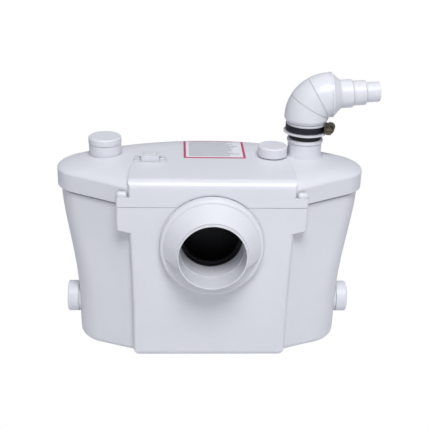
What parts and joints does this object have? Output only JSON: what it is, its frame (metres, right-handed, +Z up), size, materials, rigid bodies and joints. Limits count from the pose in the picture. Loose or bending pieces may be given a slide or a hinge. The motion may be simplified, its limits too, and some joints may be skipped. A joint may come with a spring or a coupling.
{
  "type": "macerator toilet pump",
  "caption": "White floor-standing macerator pump that grinds toilet waste and lifts it through a swivelling stepped elbow, with a lift-off lid, side inlets, vent and inner pump.",
  "frame": {"origin": "on the underside of the tank, in the upright plane through the soil inlet's axis and in line with the side inlets", "axes": "+Z up, -Y out of the soil inlet, +X towards the stepped outlet"},
  "size_m": [0.3624, 0.191, 0.3099],
  "materials": {
    "white_shell": "satin moulded",
    "black_rubber": "moulded",
    "grey_plastic": "moulded",
    "bright_steel": "machined",
    "dark_steel": "rolled strip",
    "worm_steel": "machined",
    "can_paint": "baked enamel",
    "copper_wire": "enamelled wire",
    "capacitor_case": "moulded",
    "carbon_felt": "felt",
    "switch_case": "moulded",
    "printed_label": "printed film"
  },
  "bodies": {
    "root": {"tank_floor": "white_shell", "tank_front_wall": "white_shell", "tank_back_wall": "white_shell", "inlet_collar": "white_shell", "inlet_seal": "black_rubber", "inlet_chute": "grey_plastic", "chute_face": "grey_plastic", "lid_seal": "black_rubber", "left_valve_seat": "grey_plastic", "right_valve_seat": "grey_plastic", "grinder_basket": "grey_plastic", "pump_volute": "grey_plastic", "cutter_grid": "bright_steel", "motor_flange": "grey_plastic", "shaft_seal": "black_rubber", "motor_screws": "bright_steel", "lower_bearing": "bright_steel", "upper_bearing": "bright_steel", "motor_can": "can_paint", "motor_top_cover": "grey_plastic", "stator_core": "dark_steel", "stator_windings": "copper_wire", "capacitor": "capacitor_case", "capacitor_clip": "grey_plastic", "discharge_pipe": "grey_plastic", "dip_tube": "grey_plastic", "diaphragm_housing": "grey_plastic", "diaphragm": "black_rubber", "diaphragm_cover": "grey_plastic", "microswitch": "switch_case"},
    "rotor": {"motor_shaft": "bright_steel", "rotor_core": "dark_steel", "impeller": "grey_plastic", "cutter_disc": "bright_steel", "cutter_nut": "bright_steel"},
    "lid": {"lid_cover": "white_shell", "lid_screws": "bright_steel", "rating_label": "printed_label", "cable_clamp": "white_shell", "cable_clamp_screws": "bright_steel", "cable_grommet": "black_rubber", "carbon_filter": "carbon_felt", "pipe_bush": "black_rubber", "neck_sleeve": "black_rubber", "check_valve_seat": "grey_plastic", "check_flap_pin": "bright_steel"},
    "top_inlet_cap": {"top_inlet_cap": "white_shell"},
    "vent_cap": {"vent_cap": "white_shell"},
    "left_side_cap": {"left_side_cap": "white_shell"},
    "right_side_cap": {"right_side_cap": "white_shell"},
    "left_inlet_flap": {"left_inlet_flap": "black_rubber"},
    "right_inlet_flap": {"right_inlet_flap": "black_rubber"},
    "check_flap": {"check_flap": "black_rubber"},
    "switch_plunger": {"switch_plunger": "grey_plastic"},
    "clamp_screw": {"clamp_screw": "worm_steel"},
    "outlet": {"elbow_lower": "white_shell", "clamp_band": "dark_steel"},
    "elbow_middle": {"elbow_middle": "white_shell"},
    "elbow_upper": {"elbow_upper": "white_shell", "step_reducer": "white_shell"}
  },
  "joints": [
    {"name": "lid_lift", "type": "slide", "parent": "root", "child": "lid", "axis": [0, 0, 1], "range_m": [0, 0.11]},
    {"name": "rotor_spin", "type": "hinge", "parent": "root", "child": "rotor", "pos_m": [-0.046, 0.035, 0.1], "axis": [0, 0, 1], "continuous": true},
    {"name": "left_inlet_flap_swing", "type": "hinge", "parent": "root", "child": "left_inlet_flap", "pos_m": [-0.1395, 0, 0.0594], "axis": [0, -1, 0], "range_deg": [0, 70]},
    {"name": "right_inlet_flap_swing", "type": "hinge", "parent": "root", "child": "right_inlet_flap", "pos_m": [0.1395, 0, 0.0594], "axis": [0, 1, 0], "range_deg": [0, 70]},
    {"name": "left_side_cap_pull", "type": "slide", "parent": "root", "child": "left_side_cap", "axis": [-1, 0, 0], "range_m": [0, 0.025]},
    {"name": "right_side_cap_pull", "type": "slide", "parent": "root", "child": "right_side_cap", "axis": [1, 0, 0], "range_m": [0, 0.025]},
    {"name": "top_inlet_cap_lift", "type": "slide", "parent": "lid", "child": "top_inlet_cap", "axis": [0, 0, 1], "range_m": [0, 0.02]},
    {"name": "vent_cap_lift", "type": "slide", "parent": "lid", "child": "vent_cap", "axis": [0, 0, 1], "range_m": [0, 0.009]},
    {"name": "check_flap_swing", "type": "hinge", "parent": "lid", "child": "check_flap", "pos_m": [0.097, 0.028, 0.2271], "axis": [0, -1, 0], "range_deg": [0, 60]},
    {"name": "switch_plunger_travel", "type": "slide", "parent": "root", "child": "switch_plunger", "axis": [0, 0, 1], "range_m": [0, 0.002], "stiffness_N_per_m": 200},
    {"name": "outlet_swivel", "type": "hinge", "parent": "lid", "child": "outlet", "pos_m": [0.1085, 0.028, 0.247], "axis": [0, 0, 1], "continuous": true},
    {"name": "elbow_lower_twist", "type": "hinge", "parent": "outlet", "child": "elbow_middle", "pos_m": [0.11181, 0.028, 0.27156], "axis": [0.4924, 0, 0.8704], "continuous": true},
    {"name": "elbow_upper_twist", "type": "hinge", "parent": "elbow_middle", "child": "elbow_upper", "pos_m": [0.12087, 0.028, 0.28086], "axis": [0.8571, 0, 0.5151], "continuous": true},
    {"name": "clamp_screw_turn", "type": "hinge", "parent": "outlet", "child": "clamp_screw", "pos_m": [0.13513, 0.02037, 0.2475], "axis": [-0.2756, -0.9613, 0], "continuous": true}
  ]
}
